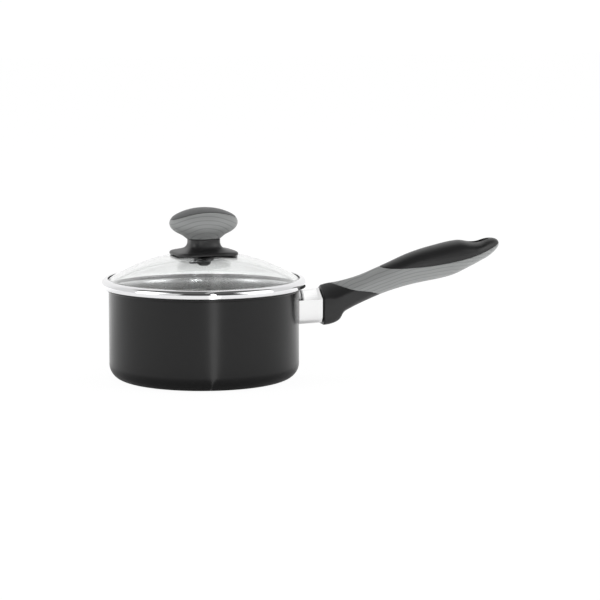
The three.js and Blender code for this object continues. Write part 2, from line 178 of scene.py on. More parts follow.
def outward(piece):
    """Turns every face of a closed mesh outwards."""
    shape = bmesh.new()
    shape.from_mesh(piece.data)
    bmesh.ops.recalc_face_normals(shape, faces=shape.faces)
    shape.to_mesh(piece.data)
    shape.free()


def stands_for(piece, body, slot, *nodes):
    """The piece rides on a body and replaces CAD nodes; its slot argument is not used."""
    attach(piece, body)
    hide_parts(*nodes)
    return piece


def revolved(profile, sides=192):
    """Points and faces of a profile of (radius, height) turned about the Z axis."""
    points, rings = [], []
    turn = np.linspace(0, 2 * math.pi, sides, endpoint=False)
    for radius, height in profile:
        first = len(points)
        if radius < 1e-6:
            points.append((0, 0, height))
            rings.append([first] * sides)
        else:
            points += [(radius * math.cos(a), radius * math.sin(a), height) for a in turn]
            rings.append(list(range(first, first + sides)))
    pairs = list(zip(rings, rings[1:]))
    if profile[0][0] > 1e-6:
        pairs.append((rings[-1], rings[0]))
    faces, owners = [], []
    for band, (low, high) in enumerate(pairs):
        for k in range(sides):
            n = (k + 1) % sides
            corners = list(dict.fromkeys([low[k], low[n], high[n], high[k]]))
            if len(corners) > 2:
                faces.append(corners)
                owners.append(band)
    return np.array(points), faces, owners


def joined(low, high, count):
    """Faces between two rings of points, from their first indices."""
    pairs = [(k, (k + 1) % count) for k in range(count)]
    return [[low + k, low + n, high + n, high + k] for k, n in pairs]


class Skin:
    """A closed tube-like surface: rows along it, columns round it, and a cap at each end.

    shape(row, column, inset) gives points in millimetres for arrays of rows and columns, and may be read
    between the whole rows and columns. field(points) is negative inside a region and positive outside it.
    """

    def __init__(self, rows, columns, shape, field):
        self.rows, self.columns, self.shape = rows, columns, shape
        grid = np.arange(rows, dtype=float), np.arange(columns, dtype=float)
        self.row, self.column = np.meshgrid(*grid, indexing="ij")
        self.value = field(shape(self.row, self.column, 0.0))
        self.snap(field)

    def snap(self, field):
        """Moves the nearest grid point onto the region's edge wherever a grid line crosses it."""
        best = np.full(self.value.shape, 9.0)
        move = np.zeros(self.value.shape + (2,))
        wrapped = np.roll(self.value, -1, axis=1)
        for axis, far in ((0, self.value[1:]), (1, wrapped)):
            near = self.value[:-1] if axis == 0 else self.value
            rows, columns = np.nonzero(near * far < 0)
            share = near[rows, columns] / (near[rows, columns] - far[rows, columns])
            for i, j, t in zip(rows, columns, share):
                ends = ((i, j, t), (i + 1, j, t - 1) if axis == 0 else (i, (j + 1) % self.columns, t - 1))
                a, b, step = min(ends, key=lambda end: abs(end[2]))
                if abs(step) < best[a, b]:
                    best[a, b] = abs(step)
                    move[a, b] = (step, 0) if axis == 0 else (0, step)
        snapped = best < 9
        self.row = self.row + move[..., 0]
        self.column = self.column + move[..., 1]
        self.side = np.where(snapped, 0, np.sign(self.value)).astype(int)

    def faces(self):
        """Every face of the skin with its region: -1 inside, 1 outside."""
        made = []
        for i in range(self.rows - 1):
            for j in range(self.columns):
                n = (j + 1) % self.columns
                corners = [(i, j), (i + 1, j), (i + 1, n), (i, n)]
                sides = [self.side[c] for c in corners]
                if -1 in sides and 1 in sides:
                    k = sides.index(0)
                    halves = [[corners[k], corners[(k + 1) % 4], corners[(k + 2) % 4]],
                              [corners[k], corners[(k + 2) % 4], corners[(k + 3) % 4]]]
                    made += [(half, self.region(half)) for half in halves]
                else:
                    made.append((corners, self.region(corners)))
        return made

    def region(self, corners):
        total = sum(self.side[c] for c in corners)
        if total == 0:
            total = sum(self.value[c] for c in corners)
        return -1 if total < 0 else 1


def split_skin(skin, inside_depth, outside_depth, keep, lip=0.12):
    """Closed mesh of a skin whose regions lie at their own depths, joined by a wall along their edge.

    keep is "all" for the whole skin, closed by its end caps, or "inside" for the inside region only, closed
    by a second skin at the outside depth. The lip sinks the edge of an outer skin, so that the seam shows.
    """
    points, index = [], {}

    def corner(cell, depth, edge):
        sink = lip if edge and depth == 0 else 0
        key = (cell, depth)
        if key not in index:
            index[key] = len(points)
            points.append(skin.shape(skin.row[cell], skin.column[cell], depth + sink))
        return index[key]

    faces = []
    count = {}
    for corners, region in skin.faces():
        if keep == "inside" and region > 0:
            continue
        depth = inside_depth if region < 0 else outside_depth
        on_edge = [skin.side[c] == 0 for c in corners]
        faces.append([corner(c, depth, e) for c, e in zip(corners, on_edge)])
        if keep == "inside":
            deep = outside_depth
            faces.append([corner(c, deep, False) for c in reversed(corners)])
        for a, b in zip(corners, corners[1:] + corners[:1]):
            count.setdefault(frozenset((a, b)), []).append((a, b, region))
    for uses in count.values():
        a, b, region = uses[0]
        open_edge = keep == "inside" and len(uses) == 1
        step_edge = keep == "all" and len(uses) == 2 and uses[1][2] != region
        if open_edge or step_edge:
            upper = inside_depth if region < 0 else outside_depth
            lower = outside_depth if region < 0 else inside_depth
            quad = [corner(b, upper, True), corner(a, upper, True)]
            quad += [corner(a, lower, False), corner(b, lower, False)]
            faces.append(list(dict.fromkeys(quad)))
    if keep == "all":
        for i, flip in ((0, True), (skin.rows - 1, False)):
            ring = [(i, j) for j in range(skin.columns)]
            region = skin.region(ring)
            depth = inside_depth if region < 0 else outside_depth
            cells = [corner(c, depth, False) for c in ring]
            faces.append(cells[::-1] if flip else cells)
    return np.array(points), faces


# ---------------------------------------------------------------- materials


class Nodes:
    """Short words for building one material's nodes."""

    def __init__(self, name):
        self.material = bpy.data.materials.new(name)
        self.material.use_nodes = True
        self.tree = self.material.node_tree
        self.shader = self.tree.nodes["Principled BSDF"]
        self.place = self.add("ShaderNodeTexCoord").outputs["Object"]

    def add(self, kind, **settings):
        node = self.tree.nodes.new(kind)
        for key, value in settings.items():
            setattr(node, key, value)
        return node

    def feed(self, socket, value):
        if isinstance(value, bpy.types.NodeSocket):
            self.tree.links.new(value, socket)
        else:
            socket.default_value = value

    def set(self, **values):
        """Shader inputs by name, with _ for a space."""
        for key, value in values.items():
            self.feed(self.shader.inputs[key.replace("_", " ")], value)

    def maths(self, operation, first, second=0.0, third=0.0):
        node = self.add("ShaderNodeMath", operation=operation)
        for socket, value in zip(node.inputs, (first, second, third)):
            self.feed(socket, value)
        return node.outputs[0]

    def axes(self, vector=None):
        split = self.add("ShaderNodeSeparateXYZ")
        self.feed(split.inputs[0], vector or self.place)
        return split.outputs

    def stretched(self, scale):
        """Object coordinates multiplied by a scale along each axis."""
        node = self.add("ShaderNodeVectorMath", operation="MULTIPLY")
        self.feed(node.inputs[0], self.place)
        node.inputs[1].default_value = scale
        return node.outputs[0]

    def noise(self, scale, detail=3.0, rough=0.5, vector=None):
        node = self.add("ShaderNodeTexNoise")
        self.feed(node.inputs["Vector"], vector or self.place)
        self.feed(node.inputs["Scale"], scale)
        self.feed(node.inputs["Detail"], detail)
        self.feed(node.inputs["Roughness"], rough)
        return node.outputs["Fac"]

    def between(self, value, low, high, from_low=0.0, from_high=1.0):
        node = self.add("ShaderNodeMapRange")
        for socket, number in zip(node.inputs, (value, from_low, from_high, low, high)):
            self.feed(socket, number)
        return node.outputs[0]

    def blend(self, share, first, second):
        node = self.add("ShaderNodeMix", data_type="RGBA")
        self.feed(node.inputs[0], share)
        self.feed(node.inputs[6], (*first, 1) if isinstance(first, tuple) else first)
        self.feed(node.inputs[7], (*second, 1) if isinstance(second, tuple) else second)
        return node.outputs[2]

    def bump(self, height, distance, strength=1.0):
        node = self.add("ShaderNodeBump")
        self.feed(node.inputs["Height"], height)
        self.feed(node.inputs["Distance"], distance)
        self.feed(node.inputs["Strength"], strength)
        self.feed(self.shader.inputs["Normal"], node.outputs[0])


def radial_distance(nodes):
    """Distance from the pan's axis, in metres."""
    x, y, _ = nodes.axes()
    squares = nodes.maths("MULTIPLY", x, x), nodes.maths("MULTIPLY", y, y)
    return nodes.maths("SQRT", nodes.maths("ADD", *squares))


def pan_outside():
    nodes = Nodes("pan_outside")
    cloud = nodes.noise(9, 4)
    grain = nodes.noise(1400, 2)
    nodes.set(
        Base_Color=nodes.blend(cloud, (0.004, 0.004, 0.0042), (0.0058, 0.0058, 0.006)),
        Roughness=nodes.between(nodes.noise(60, 5), 0.2, 0.26),
        IOR=1.375,
    )
    nodes.bump(grain, 0.000012, 0.25)
    return nodes.material


def pan_inside():
    nodes = Nodes("pan_inside")
    across = nodes.maths("ADD", radial_distance(nodes), nodes.axes()[2])
    rings = nodes.maths("SINE", nodes.maths("MULTIPLY", across, 7000))
    nodes.set(
        Base_Color=nodes.blend(nodes.noise(420, 3), (0.6, 0.6, 0.59), (0.7, 0.7, 0.69)),
        Metallic=1.0,
        Roughness=nodes.between(nodes.noise(70, 4), 0.24, 0.32),
    )
    nodes.bump(rings, 0.00003, 0.5)
    return nodes.material


def bare_metal(name, colour, low, high, streak=(1, 1, 1), distance=0.000004):
    nodes = Nodes(name)
    streaks = nodes.noise(900, 3, 0.6, nodes.stretched(streak))
    darker = tuple(c * 0.9 for c in colour)
    nodes.set(
        Base_Color=nodes.blend(nodes.noise(40, 3), colour, darker),
        Metallic=1.0,
        Roughness=nodes.between(streaks, low, high, 0.3, 0.7),
    )
    nodes.bump(streaks, distance, 0.4)
    return nodes.material


def band_steel():
    """Bright rolled steel outside, brushed on the skirt that drops into the pan."""
    nodes = Nodes("band_steel")
    streaks = nodes.noise(500, 3, 0.6, nodes.stretched((1, 1, 9)))
    skirt_edge = (SKIRT_RADIUS + 0.6) * MM, (SKIRT_RADIUS + 1.2) * MM
    skirt = nodes.between(radial_distance(nodes), 1, 0, *skirt_edge)
    polished = nodes.between(streaks, 0.05, 0.1, 0.3, 0.7)
    brushed = nodes.between(streaks, 0.2, 0.32, 0.3, 0.7)
    extra = nodes.maths("MULTIPLY", skirt, nodes.maths("SUBTRACT", brushed, polished))
    rough = nodes.maths("ADD", extra, polished)
    nodes.set(
        Base_Color=nodes.blend(nodes.noise(40, 3), (0.84, 0.84, 0.85), (0.76, 0.76, 0.77)),
        Metallic=1.0,
        Roughness=rough,
    )
    nodes.bump(streaks, 0.000002, 0.4)
    return nodes.material


def moulded(name, dark, light, low, high, grain=0.00003):
    """Hard moulded plastic with a fine spark-eroded grain."""
    nodes = Nodes(name)
    texture = nodes.noise(2200, 3, 0.6)
    nodes.set(
        Base_Color=nodes.blend(nodes.noise(55, 4), dark, light),
        Roughness=nodes.between(nodes.noise(160, 4), low, high),
    )
    nodes.bump(texture, grain, 0.6)
    return nodes.material


def contour_grip(name, height, spacing):
    """Soft-touch grey with nested contour lines, like the grain of a board."""
    nodes = Nodes(name)
    level = nodes.maths("ADD", height(nodes), nodes.maths("MULTIPLY", nodes.noise(22, 2), 0.006))
    wave = nodes.maths("PINGPONG", nodes.maths("DIVIDE", level, spacing), 0.5)
    line = nodes.between(wave, 0, 1, 0.02, 0.16)
    cloud = nodes.noise(35, 3)
    ground = nodes.blend(cloud, (0.265, 0.272, 0.27), (0.31, 0.318, 0.315))
    nodes.set(
        Base_Color=nodes.blend(line, (0.205, 0.211, 0.209), ground),
        Roughness=nodes.between(nodes.noise(300, 3), 0.5, 0.62),
        Sheen_Weight=0.25,
        Sheen_Roughness=0.5,
    )
    grain = nodes.noise(2600, 2)
    relief = nodes.maths("ADD", nodes.maths("MULTIPLY", line, 0.8), nodes.maths("MULTIPLY", grain, 0.3))
    nodes.bump(relief, 0.00006, 0.7)
    return nodes.material


def handle_levels(nodes):
    """Height of the grain along the handle: long nested lines that follow its sweep."""
    x, y, z = nodes.axes()
    away = nodes.maths("ABSOLUTE", nodes.maths("SUBTRACT", x, 0.19))
    sweep = nodes.maths("MULTIPLY", nodes.maths("POWER", away, 2.0), 2.6)
    slope = nodes.maths("MULTIPLY", x, 0.13)
    return nodes.maths("SUBTRACT", nodes.maths("ADD", z, sweep), slope)


def knob_levels(nodes):
    """Height of the grain on the knob: arches that follow the seam under its top."""
    x, y, z = nodes.axes()
    across = nodes.maths("MULTIPLY", x, 0.56)
    up = nodes.maths("SUBTRACT", z, 0.112)
    squares = nodes.maths("MULTIPLY", across, across), nodes.maths("MULTIPLY", up, up)
    return nodes.maths("SQRT", nodes.maths("ADD", *squares))


def clear_glass():
    nodes = Nodes("clear_glass")
    nodes.set(
        Base_Color=(0.985, 0.995, 0.99, 1),
        Roughness=0.0,
        IOR=1.52,
        Transmission_Weight=1.0,
    )
    return nodes.material


def silicone():
    nodes = Nodes("silicone")
    nodes.set(
        Base_Color=nodes.blend(nodes.noise(80, 3), (0.01, 0.01, 0.011), (0.018, 0.018, 0.019)),
        Roughness=nodes.between(nodes.noise(300, 3), 0.45, 0.6),
    )
    return nodes.material


PAN_OUTSIDE = pan_outside()
PAN_INSIDE = pan_inside()
ALUMINIUM = bare_metal("polished_aluminium", (0.9, 0.9, 0.9), 0.1, 0.2, (0.05, 1, 1))
BAND_STEEL = band_steel()
STEEL = bare_metal("polished_steel", (0.8, 0.8, 0.81), 0.04, 0.1, (0.2, 0.2, 1), 0.000002)
ZINC = bare_metal("zinc_steel", (0.62, 0.63, 0.64), 0.28, 0.42)
BLACK_STEEL = bare_metal("blackened_steel", (0.05, 0.05, 0.052), 0.16, 0.26)
BRASS = bare_metal("turned_brass", (0.68, 0.52, 0.24), 0.25, 0.4)
BLACK_PLASTIC = moulded("black_plastic", (0.0075, 0.0075, 0.0078), (0.011, 0.011, 0.0114), 0.34, 0.44)
DARK_INLAY = moulded("dark_inlay", (0.1, 0.103, 0.104), (0.13, 0.133, 0.134), 0.42, 0.52)
HANDLE_GREY = contour_grip("handle_grey", handle_levels, 0.003)
KNOB_GREY = contour_grip("knob_grey", knob_levels, 0.0032)
GLASS = clear_glass()
SILICONE = silicone()

# ---------------------------------------------------------------- pan


def pan():
    inside = PAN_RADIUS - PAN_WALL
    inner_corner = PAN_CORNER - PAN_WALL
    bead_x, bead_z = PAN_RADIUS + 0.5, RIM_TOP - BEAD
    outside = [(0, 0), (30, 0), (58, 0)]
    outside += arc(PAN_RADIUS - PAN_CORNER, PAN_CORNER, PAN_CORNER, -90, 0, 24)
    outside += [(PAN_RADIUS, 20), (PAN_RADIUS, 45), (PAN_RADIUS, bead_z - 1.5)]
    bead = arc(bead_x, bead_z, BEAD, -62, 92, 20)
    lip = [(inside + 1.9, RIM_TOP - 0.15), (inside + 0.9, RIM_TOP - 0.7), (inside + 0.25, RIM_TOP - 1.7)]
    inner = [(inside, RIM_TOP - 3), (inside, 45), (inside, 25)]
    inner += arc(inside - inner_corner, PAN_FLOOR + inner_corner, inner_corner, 0, -90, 20)
    inner += [(40, PAN_FLOOR), (20, PAN_FLOOR), (0, PAN_FLOOR)]
    points, faces, owners = revolved(outside + bead + lip + inner, 256)
    piece = new_object("pan_shell", points, faces, [PAN_OUTSIDE, PAN_INSIDE])
    inner_start = len(outside) + len(bead) + 1
    for face, owner in zip(piece.data.polygons, owners):
        face.material_index = 0 if owner < inner_start else 1
    return stands_for(piece, "pan", "black_coated_aluminium", "pan_body")


# ---------------------------------------------------------------- handle

HANDLE_TOP = [(95.6, 72.0), (101, 73.3), (112, 74.9), (129, 79.3), (150, 87.6), (171, 96.2), (190, 101.6),
              (211, 105.6), (223, 104.1), (229, 104.5), (236, 106.8), (246.5, 110)]
HANDLE_BOTTOM = [(95.6, 40.5), (101, 41.1), (107, 42.9), (110, 45), (111.8, 48.2), (114, 50.6), (119, 52.9),
                 (129, 56.8), (150, 64.6), (171, 70.2), (205, 76.7), (222, 84.1), (232, 89), (246.5, 95.3)]
HANDLE_CREASE = [(95.6, 62.6), (104, 62.2), (114, 65.2), (125, 68.5), (145, 75.5), (171, 85), (205, 92),
                 (246.5, 102.3)]
HANDLE_HALF_WIDTH = [(95.6, 16.6), (108, 15.4), (125, 12.9), (145, 12), (170, 14), (205, 16), (225, 14.6),
                     (236, 11.4), (246.5, 10.2)]
TOP_POWER = [(95.6, 1.2), (112, 1.3), (135, 1.8), (160, 2), (246.5, 2.1)]
BOTTOM_POWER = [(95.6, 7), (104, 6.5), (112, 5), (125, 3), (140, 2.3), (160, 2), (246.5, 2)]
FRONT_SEAM = [(104, 73.8), (109, 72.3), (113.4, 70.9), (119.7, 68.8), (129, 67.2), (135, 66.3), (146, 63)]
REAR_SEAM = [(142, 88.2), (145.6, 85.9), (150, 85), (158, 84.8), (167.5, 85.1), (177, 85.7), (192.5, 87.3),
             (218, 92.2), (236.4, 98.4), (247, 103.6)]


def round_section(position, angle, sizes):
    """Points round one section: sizes are crease height, half width, rise, drop and the two powers."""
    crease, half_width, rise, drop, top_power, bottom_power = sizes
    upper = np.sin(angle) >= 0
    power = 2 / np.where(upper, top_power, bottom_power)
    y = half_width * signed_power(np.cos(angle), power)
    z = crease + np.where(upper, rise, drop) * signed_power(np.sin(angle), power)
    return np.stack([np.broadcast_to(position, y.shape), y, z], axis=-1)


def handle_section(position, angle, inset):
    into = np.clip(position - NOSE_START, 0, None) / (HANDLE_TIP - NOSE_START)
    nose = np.sqrt(np.clip(1 - into**2, 0.0004, 1))
    crease = along(HANDLE_CREASE, position)
    return round_section(position, angle, (
        crease,
        np.maximum(along(HANDLE_HALF_WIDTH, position) * nose - inset, 0.1),
        np.maximum((along(HANDLE_TOP, position) - crease) * nose - inset, 0.1),
        np.maximum((crease - along(HANDLE_BOTTOM, position)) * nose - inset, 0.1),
        along(TOP_POWER, position),
        along(BOTTOM_POWER, position),
    ))


HANDLE_STATIONS = np.concatenate([
    HANDLE_START + 0.9 * (1 - np.cos(np.linspace(0, math.pi / 2, 6))),
    np.linspace(97.2, NOSE_START, 170),
    NOSE_START + (HANDLE_TIP - NOSE_START) * np.sin(np.linspace(0.05, math.pi / 2, 26)),
])
HANDLE_COLUMNS = 160


def handle_shape(row, column, inset):
    position = np.interp(row, np.arange(len(HANDLE_STATIONS)), HANDLE_STATIONS)
    edge = np.clip(1 - (position - HANDLE_START) / 0.9, 0, 1)
    rounding = 0.9 * (1 - np.sqrt(1 - edge**2))
    return handle_section(position, column * 2 * math.pi / HANDLE_COLUMNS, inset + rounding)


def grip_field(points, shift=0.0):
    """Negative where the soft grip lies: above the front seam and below the rear one."""
    x, z = points[..., 0], points[..., 2]
    front = np.where(x < FRONT_SEAM[0][0], 90, np.where(x > FRONT_SEAM[-1][0], -99, along(FRONT_SEAM, x)))
    rear = np.where(x < REAR_SEAM[0][0], 120, along(REAR_SEAM, x))
    return np.maximum(front - z, z - rear) + shift


def cut(piece, cutter):
    """Cuts one closed mesh out of another and leaves the result as plain mesh."""
    modifier = piece.modifiers.new("cut", "BOOLEAN")
    modifier.operation = "DIFFERENCE"
    modifier.solver = "EXACT"
    modifier.object = cutter
    bpy.context.view_layer.update()
    result = bpy.data.meshes.new_from_object(piece.evaluated_get(bpy.context.evaluated_depsgraph_get()))
    piece.modifiers.clear()
    old = piece.data
    piece.data = result
    result.name = old.name
    bpy.data.meshes.remove(old)
    result.shade_smooth()
    result.set_sharp_from_angle(angle=math.radians(SHARP_ANGLE))


def hang_slot():
    """Cutter for the upright slot through the tail."""
    box = [v for v in frame["record"]["physics"]["openings"] if v["name"] == "hang_slot"][0]["box_m"]
    middle = (box[0][0] + box[1][0]) / 2 / MM
    outline = arc(5.5, 0, 4, -90, 90, 24) + arc(-5.5, 0, 4, 90, 270, 24)
    points = [(middle + x, y, z) for z in (70, 120) for x, y in outline]
    count = len(outline)
    faces = [list(range(count))[::-1], list(range(count, 2 * count))]
    faces += joined(0, count, count)
    return new_object("slot_cutter", points, faces, [])


def screw_bore():
    """Stepped bore for the handle screw: shank, then the counterbore that opens under the handle."""
    profile = [(0, 80), (4.7, 80), (4.7, 93), (2.3, 93), (2.3, 104), (4.6, 104), (4.6, 131), (0, 131)]
    points, faces, _ = revolved(profile, 64)
    points = np.stack([points[:, 2], points[:, 1], SCREW_HEIGHT - points[:, 0]], axis=-1)
    return new_object("bore_cutter", points, faces, [])


def handle():
    rows = len(HANDLE_STATIONS)
    core_skin = Skin(rows, HANDLE_COLUMNS, handle_shape, lambda p: grip_field(p, -SEAM_GAP / 2))
    points, faces = split_skin(core_skin, GRIP_THICKNESS + SEAM_GAP, 0.0, "all")
    core = new_object("handle_hard_core", points, faces, [BLACK_PLASTIC])
    outward(core)
    grip_skin = Skin(rows, HANDLE_COLUMNS, handle_shape, lambda p: grip_field(p, SEAM_GAP / 2))
    points, faces = split_skin(grip_skin, 0.0, GRIP_THICKNESS, "inside")
    grip = new_object("handle_soft_grip", points, faces, [HANDLE_GREY])
    outward(grip)
    cutters = [hang_slot(), screw_bore()]
    cut(core, cutters[0])
    cut(grip, cutters[0])
    cut(core, cutters[1])
    for cutter in cutters:
        bpy.data.objects.remove(cutter)
    stands_for(core, "pan", "black_plastic", "handle_core")
    stands_for(grip, "pan", "grey_soft_grip", "handle_grip")


def ferrule():
    """Polished sleeve, open at both ends, its pan end following the pan wall."""
    columns = 192
    angle = np.linspace(0, 2 * math.pi, columns, endpoint=False)

    def ring(share, inset):
        along_x = PAN_RADIUS + share * (FERRULE_HIGH.x - PAN_RADIUS)
        slope = np.clip(share, 0, 1)
        crease = 61.6 + 0.6 * slope
        rise = 67.8 + 2 * slope - crease - inset
        drop = crease - 41.7 - 0.8 * slope - inset
        points = round_section(along_x, angle, (crease, 14.6 - inset, rise, drop, 1.02, 7))
        if share <= 0:
            points[:, 0] = np.sqrt((PAN_RADIUS + SEAM_GAP) ** 2 - points[:, 1] ** 2) + (-share)
        return points

    shares = [0, 0.15, 0.4, 0.6, 0.8, 0.975]
    rings = [ring(s, 0) for s in shares] + [ring(0.995, 0.15), ring(1, 0.45)]
    rings += [ring(1, FERRULE_WALL - 0.2), ring(0.99, FERRULE_WALL)]
    rings += [ring(s, FERRULE_WALL) for s in reversed(shares)]
    points = np.concatenate(rings)
    faces = []
    for k in range(len(rings)):
        low, high = k * columns, ((k + 1) % len(rings)) * columns
        faces += joined(low, high, columns)
    piece = new_object("ferrule_sleeve", points, faces, [ALUMINIUM])
    outward(piece)
    stands_for(piece, "pan", "polished_aluminium", "ferrule")


# ---------------------------------------------------------------- lid


def dome_height(radius):
    return DOME_FOOT + DOME_RISE * (1 - (np.abs(radius) / DOME_RADIUS) ** DOME_POWER)


def dome_curve(first, last, steps, lift=0.0):
    return [(r, float(dome_height(r)) + lift) for r in np.linspace(first, last, steps + 1)]


def lid_glass():
    rim = GLASS_HIGH.x
    under = dome_curve(GLASS_HOLE, DOME_RADIUS - 2.5, 40, -GLASS_THICKNESS)
    edge = arc(rim - 1.2, DOME_FOOT - GLASS_THICKNESS + 1.2, 1.2, -90, 0, 6)
    edge += arc(rim - 1.2, DOME_FOOT - 1.2, 1.2, 0, 90, 6)
    points, faces, _ = revolved(under + edge + dome_curve(DOME_RADIUS, GLASS_HOLE, 44), 256)
    piece = new_object("glass_dome", points, faces, [GLASS], 60)
    outward(piece)
    bore = VENT_RADIUS + 0.3
    points, faces, _ = revolved([(0, -12), (bore, -12), (bore, 8), (0, 8)], 48)
    vent = at_vent(points, faces, "vent_cutter", [])
    cut(piece, vent)
    bpy.data.objects.remove(vent)
    stands_for(piece, "lid", "clear_glass", "lid_glass")


def at_vent(points, faces, name, materials):
    """An object about the Z axis, set square to the dome at the steam vent."""
    share = VENT_DISTANCE / DOME_RADIUS
    tilt = math.atan(DOME_RISE * DOME_POWER / DOME_RADIUS * share ** (DOME_POWER - 1))
    turn = np.array(Matrix.Rotation(-tilt, 3, "X"))
    placed = points @ turn.T + np.array([0, VENT_DISTANCE, dome_height(VENT_DISTANCE)])
    return new_object(name, placed, faces, materials)


def vent_eyelet():
    inside = -GLASS_THICKNESS
    rise = VENT_RADIUS + 1.8
    profile = filleted([
        (VENT_RADIUS - 0.8, inside - 0.8, 0.3), (rise, inside - 0.8, 0.3), (rise, inside - 0.1, 0.2),
        (VENT_RADIUS, inside - 0.1, 0.05), (VENT_RADIUS, 0.35, 0.05), (rise, 0.35, 0.15),
        (rise - 0.2, 1.05, 0.3), (VENT_RADIUS - 0.8, 1.05, 0.5),
    ], 4)
    points, faces, _ = revolved(profile, 64)
    piece = at_vent(points, faces, "vent_ring", [STEEL])
    outward(piece)
    stands_for(piece, "lid", "polished_steel", "vent_eyelet")


def lid_band():
    """Steel ring: lip over the glass, rounded shoulder, upright face, shelf on the rim, inner skirt."""
    edge = BAND_HIGH.x
    inner = edge - SHEET
    shoulder = (edge - BAND_CURVE, BAND_HIGH.z - BAND_CURVE)
    bottom = BAND_LOW.z
    outside = arc(SKIRT_RADIUS - SHEET / 2, bottom + SHEET / 2, SHEET / 2, -180, 0, 8)
    outside += [(SKIRT_RADIUS, 71), (SKIRT_RADIUS, 73.6)]
    outside += [(SKIRT_RADIUS + 0.25, 74.4), (SKIRT_RADIUS + 0.9, 74.8)]
    outside += [(76.5, 74.8), (79.4, 74.8), (80.2, 74.65), (80.9, 74.35)]
    outside += arc(edge - 0.9, 75.12, 0.9, -95, -4, 10)
    outside += arc(*shoulder, BAND_CURVE, 0, 90, 26)
    lip = [(77.4, 80.9), (77.05, 80.82), (76.95, 80.6), (77.05, 80.38), (77.4, 80.3)]
    inside = arc(*shoulder, BAND_CURVE - SHEET, 90, 0, 22)
    inside += [(inner, 75.3), (inner - 0.15, 75), (inner - 0.4, 74.95), (80.9, 75), (80.3, 75.25)]
    inside += [(79.5, 75.4), (76.5, 75.4), (SKIRT_RADIUS + 0.7, 75.4)]
    inside += [(SKIRT_RADIUS - 0.25, 75), (SKIRT_RADIUS - SHEET, 73.8), (SKIRT_RADIUS - SHEET, 71)]
    points, faces, _ = revolved(outside + lip + inside, 256)
    piece = new_object("lid_ring", points, faces, [BAND_STEEL], 60)
    outward(piece)
    stands_for(piece, "lid", "polished_steel", "lid_band")


# ---------------------------------------------------------------- knob

KNOB_YAW = math.radians(8)  # the lid rests with its knob turned this far from the handle
KNOB_HALF_LENGTH = 28
KNOB_MIDDLE = 122  # the inner skin shrinks towards this height
KNOB_PROFILE = [(14, 112.6), (17.8, 115.5), (23.3, 118.4), (26.7, 121.4), (28, 124.5), (27.6, 127.5),
                (25.4, 130.5), (21.2, 133), (15.6, 135.2), (10, 136.6), (4.5, 137.3), (0, KNOB_CROWN)]
KNOB_ROWS, KNOB_COLUMNS = 120, 192


def knob_shape(row, column, inset):
    """Points on the oval knob, from the edge of its flat underside up to the crown."""
    t = np.asarray(row) / (KNOB_ROWS - 1) * (len(KNOB_PROFILE) - 1)
    steps = range(len(KNOB_PROFILE))
    radius = along([(k, KNOB_PROFILE[k][0]) for k in steps], t)
    height = along([(k, KNOB_PROFILE[k][1]) for k in steps], t)
    share = np.clip((radius - inset) / np.maximum(radius, 0.01), 0.02, 1)
    radius = radius * share
    height = KNOB_MIDDLE + (height - KNOB_MIDDLE) * (1 - inset / 12)
    angle = np.asarray(column) * 2 * math.pi / KNOB_COLUMNS
    x = radius * np.cos(angle)
    return np.stack([x, radius * np.sin(angle) * KNOB_DEPTH_RATIO, height + 0 * x], axis=-1)


def knob_field(points, shift=0.0):
    top, drop = KNOB_SEAM
    return points[..., 2] - top + drop * (points[..., 0] / KNOB_HALF_LENGTH) ** 2 + shift


def turned_knob(points):
    """Points of the knob, turned about the lid's axis with the rest of it."""
    return points @ np.array(Matrix.Rotation(KNOB_YAW, 3, "Z")).T


def knob():
    bowl_skin = Skin(KNOB_ROWS, KNOB_COLUMNS, knob_shape, lambda p: knob_field(p, 0.15))
    points, faces = split_skin(bowl_skin, 0.0, 2.5, "inside")
    bowl = new_object("knob_bowl", turned_knob(points), faces, [KNOB_GREY])
    outward(bowl)
    stands_for(bowl, "lid", "grey_soft_grip", "knob_grip")
    top_skin = Skin(KNOB_ROWS, KNOB_COLUMNS, knob_shape, lambda p: -knob_field(p, -0.15))
    points, faces = split_skin(top_skin, 0.0, 2.5, "inside")
    top = new_object("knob_inlay", turned_knob(points), faces, [DARK_INLAY])
    outward(top)
    stands_for(top, "lid", "dark_grey_inlay", "knob_top")


FLARE = [(100.9, 1), (101.5, 0.995), (102.1, 0.97), (102.6, 0.925), (103.1, 0.84), (103.8, 0.72),
         (104.9, 0.6), (106.5, 0.53), (108.4, 0.5), (110.2, 0.492), (112.1, 0.495)]


def knob_base():
    """Flange that follows the dome, flaring up into the neck."""
    columns, rows = 192, 60
    angle = np.linspace(0, 2 * math.pi, columns, endpoint=False)
    t = np.linspace(0, len(FLARE) - 1, rows)
    steps = range(len(FLARE))
    heights = along([(k, FLARE[k][0]) for k in steps], t)
    scales = along([(k, FLARE[k][1]) for k in steps], t)

    def ring(scale, height=None, lift=0.3, inset=0.0):
        power = 2 / (2.2 + 1.6 * scale)
        x = (FLANGE[0] - inset) * scale * signed_power(np.cos(angle), power)
        y = (FLANGE[1] - inset) * scale * signed_power(np.sin(angle), power)
        z = dome_height(np.hypot(x, y)) + lift if height is None else np.full(columns, height)
        return np.stack([x, y, z], axis=-1)

    rings = [ring(s) for s in (0.1, 0.3, 0.5, 0.7, 0.85, 0.96)]
    rings += [ring(1, None, 0.3, 0.35), ring(1, None, 0.6)]
    rings += [ring(s, h) for h, s in zip(heights, scales)]
    rings += [ring(0.43, 112.4), ring(0.2, 112.4)]
    points = np.concatenate(rings)
    faces = [list(range(columns))[::-1]]
    for k in range(len(rings) - 1):
        low, high = k * columns, (k + 1) * columns
        faces += joined(low, high, columns)
    faces.append(list(range(len(points) - columns, len(points))))
    piece = new_object("knob_foot", turned_knob(points), faces, [BLACK_PLASTIC])
    outward(piece)
    stands_for(piece, "lid", "black_plastic", "knob_base")


